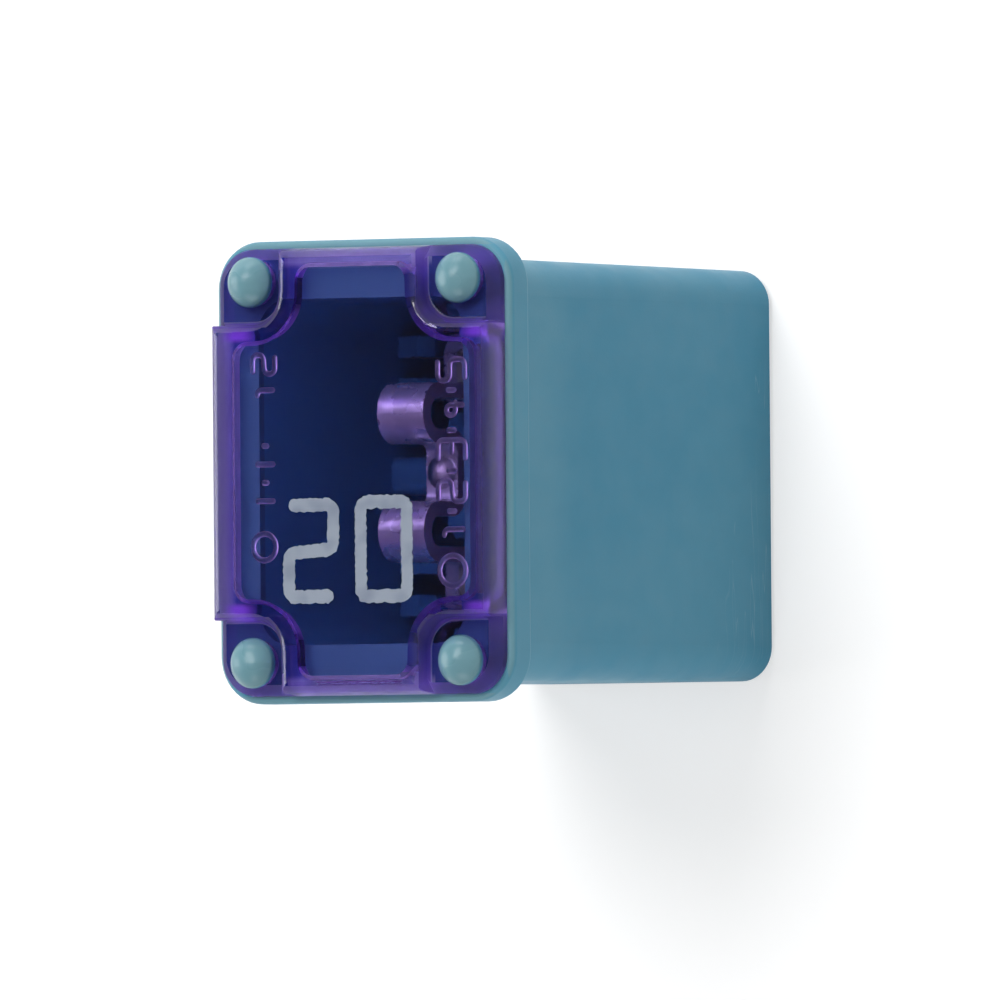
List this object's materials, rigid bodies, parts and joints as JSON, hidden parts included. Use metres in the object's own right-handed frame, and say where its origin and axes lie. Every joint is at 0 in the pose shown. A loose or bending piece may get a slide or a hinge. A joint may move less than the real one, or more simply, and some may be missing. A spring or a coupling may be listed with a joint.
{
  "type": "micro female cartridge fuse",
  "caption": "Micro female cartridge fuse: light blue moulded body with a flange, clear violet cover staked on corner posts, blade slots underneath.",
  "frame": {"origin": "centre of the blade face, the flat end with the two blade slots", "axes": "+Z along the plug-in axis from the blade face to the cover, Y from one terminal to the other along the wide side, X across the narrow side"},
  "size_m": [0.009, 0.012, 0.0154],
  "materials": {
    "housing": "satin moulded polymer, light grey blue",
    "cover": "glossy clear polymer with a violet tint",
    "element": "tin-plated copper alloy strip",
    "pellet": "cast tin, dull",
    "clip": "stainless spring strip",
    "print": "pale grey pad-printed ink"
  },
  "bodies": {
    "root": {"housing": "housing", "cover": "cover", "fuse_element": "element", "tin_pellet": "pellet", "left_spring_clip": "clip", "right_spring_clip": "clip"}
  },
  "joints": []
}
